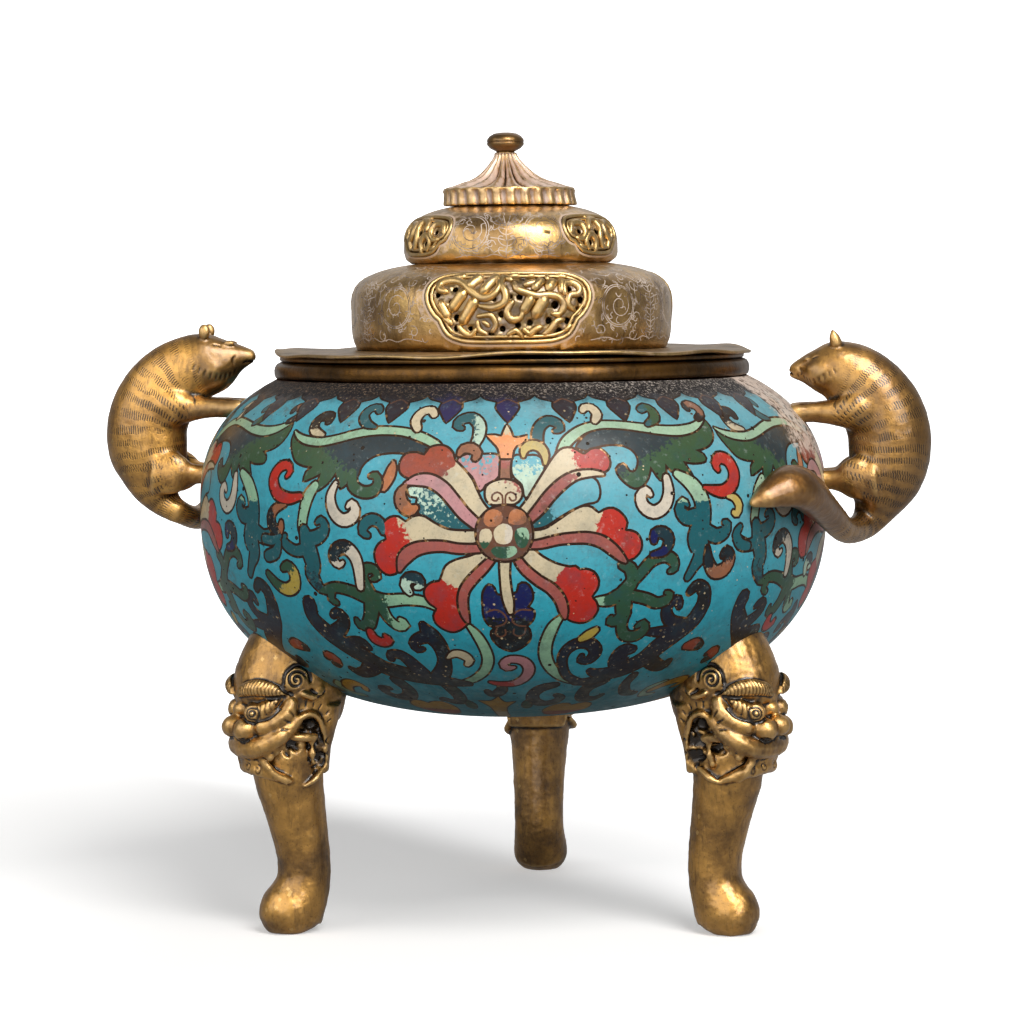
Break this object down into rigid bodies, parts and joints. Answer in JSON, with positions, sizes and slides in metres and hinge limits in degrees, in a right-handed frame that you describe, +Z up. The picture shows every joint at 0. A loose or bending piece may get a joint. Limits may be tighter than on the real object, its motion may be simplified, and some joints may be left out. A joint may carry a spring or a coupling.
{
  "type": "tripod incense burner",
  "caption": "Round cloisonne enamelled bowl on cast lion-mask legs, with animal handles, a lip ring, a lift-out ash liner and a pierced domed cover.",
  "frame": {"origin": "on the ground, below the middle of the box round the whole burner, which is the bowl's axis", "axes": "+Z up the bowl's axis; +X towards the right handle as seen from the front, along the longest extent; +Y to the back, towards the single back leg, along the shortest extent"},
  "size_m": [0.2664, 0.2, 0.2498],
  "materials": {
    "enamel": "polished turquoise glass enamel with coloured cells between fine copper wires, pitted all over",
    "gilt_bronze": "cast gilt bronze, worn and warm, dark in the recesses",
    "rubbed_gilt": "raised gilt sheet with fine engraving filled with pale pinkish residue",
    "copper": "dull copper darkened by heat"
  },
  "bodies": {
    "vessel": {"enamelled_bowl": "enamel", "lip_ring": "gilt_bronze", "leg_back": "gilt_bronze", "leg_front_left": "gilt_bronze", "leg_front_right": "gilt_bronze", "leg_rove_back": "copper", "leg_rove_front_left": "copper", "leg_rove_front_right": "copper", "handle_right": "gilt_bronze", "right_fore_a_paw_rove": "copper", "right_fore_b_paw_rove": "copper", "right_hind_a_paw_rove": "copper", "right_hind_b_paw_rove": "copper", "handle_left": "gilt_bronze", "left_fore_a_paw_rove": "copper", "left_fore_b_paw_rove": "copper", "left_hind_a_paw_rove": "copper", "left_hind_b_paw_rove": "copper"},
    "liner": {"ash_liner": "copper"},
    "cover": {"cover_bezel": "gilt_bronze", "cover_flange": "rubbed_gilt", "lower_dome": "rubbed_gilt", "lower_panel_1": "gilt_bronze", "lower_panel_2": "gilt_bronze", "lower_panel_3": "gilt_bronze", "upper_dome": "rubbed_gilt", "upper_panel_1": "gilt_bronze", "upper_panel_2": "gilt_bronze", "upper_panel_3": "gilt_bronze", "canopy": "rubbed_gilt", "finial": "gilt_bronze", "finial_nut": "copper"}
  },
  "joints": [
    {"name": "cover_lift", "type": "slide", "parent": "vessel", "child": "cover", "axis": [0, 0, 1], "range_m": [0, 0.2]},
    {"name": "liner_lift", "type": "slide", "parent": "vessel", "child": "liner", "axis": [0, 0, 1], "range_m": [0, 0.1]}
  ],
  "couplings": [
    {"joint": "liner_lift", "follows": "cover_lift", "ratio": 0.5}
  ]
}
